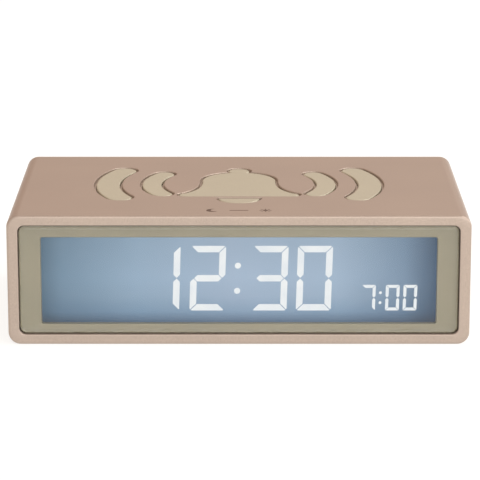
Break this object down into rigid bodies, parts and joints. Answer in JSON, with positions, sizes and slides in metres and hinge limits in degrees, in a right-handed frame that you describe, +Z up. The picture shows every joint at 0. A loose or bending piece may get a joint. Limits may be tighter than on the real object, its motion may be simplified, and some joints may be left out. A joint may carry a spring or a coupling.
{
  "type": "travel alarm clock",
  "caption": "Flat digital travel alarm clock: a metallic sleeve with a wide display, turned over to set or silence its alarm, with buttons and a battery door at the back.",
  "frame": {"origin": "centre of the lower broad face, the face that carries the crescent moon", "axes": "+X to the right across the display, +Y from the display to the back, +Z up to the face that carries the ringing bell"},
  "size_m": [0.087, 0.052, 0.025],
  "materials": {
    "sleeve_finish": "satin metallic lacquer in pink gold",
    "back_finish": "fine satin pink gold",
    "symbol_finish": "satin champagne",
    "control_finish": "satin champagne",
    "lens_clear": "clear polished acrylic",
    "bezel_finish": "satin champagne print",
    "display_glass": "blue backlit display glass",
    "polarizer_film": "clear tinted film",
    "light_plastic": "clear moulding",
    "white_plastic": "white",
    "frame_plastic": "pale grey moulding",
    "black_plastic": "black moulding",
    "conducting_rubber": "striped rubber",
    "circuit_board": "green solder mask",
    "plated_steel": "nickel plated",
    "copper_film": "bare copper foil",
    "brass_disc": "brass",
    "cell_can": "plain sleeved cell",
    "red_wire": "red insulation",
    "black_wire": "black insulation",
    "ribbon": "grey flat cable"
  },
  "bodies": {
    "root": {"outer_sleeve": "sleeve_finish", "rear_panel": "back_finish", "top_symbol_plate": "symbol_finish", "bottom_symbol_plate": "symbol_finish", "front_lens": "lens_clear", "front_bezel": "bezel_finish", "lcd_glass": "display_glass", "front_polarizer": "polarizer_film", "light_guide": "light_plastic", "diffuser_sheet": "white_plastic", "backlight_led_left": "white_plastic", "backlight_led_right": "white_plastic", "display_holder": "frame_plastic", "chassis": "frame_plastic", "controller_chip": "black_plastic", "capacitor": "black_plastic", "tilt_switch_base": "black_plastic", "buzzer_housing": "black_plastic", "slide_switch_body": "black_plastic", "time_set_switch_base": "black_plastic", "alarm_set_switch_base": "black_plastic", "plus_switch_base": "black_plastic", "minus_switch_base": "black_plastic", "zebra_strip_top": "conducting_rubber", "zebra_strip_bottom": "conducting_rubber", "main_board": "circuit_board", "key_board": "circuit_board", "crystal": "plated_steel", "tilt_switch_can": "plated_steel", "bridge_contact": "plated_steel", "negative_contact": "plated_steel", "positive_contact": "plated_steel", "battery_spring_front": "plated_steel", "battery_spring_rear": "plated_steel", "rear_screw_lower_left": "plated_steel", "rear_screw_upper_left": "plated_steel", "rear_screw_lower_right": "plated_steel", "rear_screw_upper_right": "plated_steel", "top_touch_electrode": "copper_film", "bottom_touch_electrode": "copper_film", "piezo_disc": "brass_disc", "battery_front": "cell_can", "battery_rear": "cell_can", "top_touch_wire": "red_wire", "bottom_touch_wire": "red_wire", "battery_wire_positive": "red_wire", "battery_wire_negative": "black_wire", "ribbon_cable": "ribbon"},
    "time_set_button": {"time_set_button": "control_finish", "time_set_switch_plunger": "white_plastic"},
    "alarm_set_button": {"alarm_set_button": "control_finish", "alarm_set_switch_plunger": "white_plastic"},
    "plus_button": {"plus_button": "control_finish", "plus_switch_plunger": "white_plastic"},
    "minus_button": {"minus_button": "control_finish", "minus_switch_plunger": "white_plastic"},
    "slide_knob": {"slide_switch_knob": "control_finish"},
    "battery_door": {"battery_door": "back_finish"},
    "tilt_ball": {"tilt_switch_ball": "plated_steel"}
  },
  "joints": [
    {"name": "time_set_press", "type": "slide", "parent": "root", "child": "time_set_button", "axis": [0, -1, 0], "range_m": [0, 0.0005], "stiffness_N_per_m": 2000},
    {"name": "alarm_set_press", "type": "slide", "parent": "root", "child": "alarm_set_button", "axis": [0, -1, 0], "range_m": [0, 0.0005], "stiffness_N_per_m": 2000},
    {"name": "plus_press", "type": "slide", "parent": "root", "child": "plus_button", "axis": [0, -1, 0], "range_m": [0, 0.0005], "stiffness_N_per_m": 2000},
    {"name": "minus_press", "type": "slide", "parent": "root", "child": "minus_button", "axis": [0, -1, 0], "range_m": [0, 0.0005], "stiffness_N_per_m": 2000},
    {"name": "hour_format_slide", "type": "slide", "parent": "root", "child": "slide_knob", "axis": [0, 0, 1], "range_m": [0, 0.0025]},
    {"name": "battery_door_hinge", "type": "hinge", "parent": "root", "child": "battery_door", "pos_m": [-0.0152, 0.0243, 0.0071], "axis": [-1, 0, 0], "range_deg": [0, 90]},
    {"name": "tilt_ball_roll", "type": "slide", "parent": "root", "child": "tilt_ball", "axis": [0, 0, 1], "range_m": [0, 0.0025]}
  ]
}
